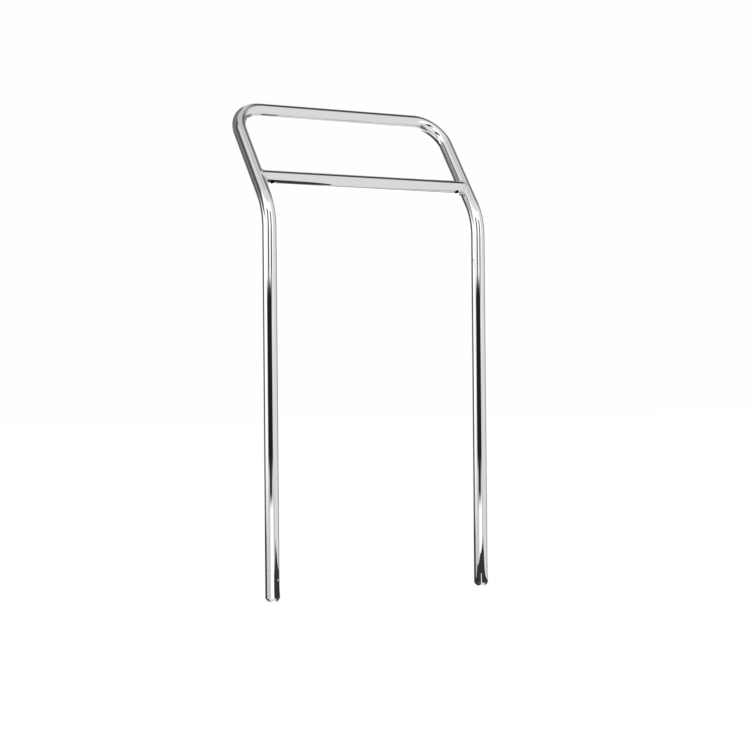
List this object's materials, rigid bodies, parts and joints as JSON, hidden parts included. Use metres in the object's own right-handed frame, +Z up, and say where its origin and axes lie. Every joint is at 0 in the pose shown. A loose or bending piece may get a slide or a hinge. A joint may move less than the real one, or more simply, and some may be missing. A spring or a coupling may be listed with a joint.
{
  "type": "valet stand frame",
  "caption": "Chrome tube frame of a valet stand: a bent hoop with two straight legs, a top that leans back, a welded crossbar and domed leg ends.",
  "frame": {"origin": "midway between the centres of the two leg tubes' cut ends, which the domed caps close from below", "axes": "+X along the bars to the right as seen from the front, +Y the way the upper part leans back, +Z up the legs"},
  "size_m": [0.4654, 0.157, 0.8797],
  "materials": {
    "tube_chrome": "bright chrome plate on steel tube",
    "weld_chrome": "chrome plate over a dressed weld bead",
    "cap_chrome": "bright chrome plate on a turned steel cap"
  },
  "bodies": {
    "root": {"hoop_tube": "tube_chrome", "crossbar_tube": "tube_chrome", "left_weld": "weld_chrome", "right_weld": "weld_chrome", "left_end_cap": "cap_chrome", "right_end_cap": "cap_chrome"}
  },
  "joints": []
}
